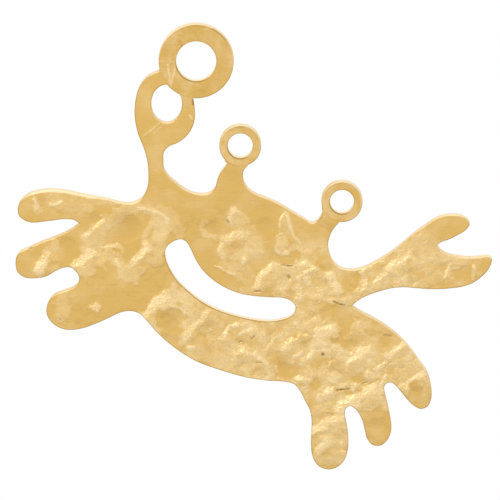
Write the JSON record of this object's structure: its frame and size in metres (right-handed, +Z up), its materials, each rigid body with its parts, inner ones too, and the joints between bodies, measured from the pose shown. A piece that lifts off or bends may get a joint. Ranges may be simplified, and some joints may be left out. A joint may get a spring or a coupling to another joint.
{
  "type": "crab charm",
  "caption": "Flat hammered brass charm in the shape of a crab seen from the side, with a hanging ring and two small eye rings.",
  "frame": {"origin": "centre of the hanging ring's bore, halfway through the sheet", "axes": "+Z up as the charm hangs, +Y out of the plain back, so the hammered front looks along -Y, and +X from the claw to the pincer"},
  "size_m": [0.0477, 0.0012, 0.0453],
  "materials": {
    "hammered_brass": "gold-toned brass sheet, hammered and creased on its front, satin shine, bright filed edges",
    "smooth_brass": "gold-toned brass, smooth and softly polished, filed rims",
    "solder": "brazed seam under the gold tone, slightly darker than the brass"
  },
  "bodies": {
    "root": {"crab_plate": "hammered_brass", "hanging_ring": "smooth_brass", "front_eye_ring": "smooth_brass", "rear_eye_ring": "smooth_brass", "solder_seams": "solder"}
  },
  "joints": []
}
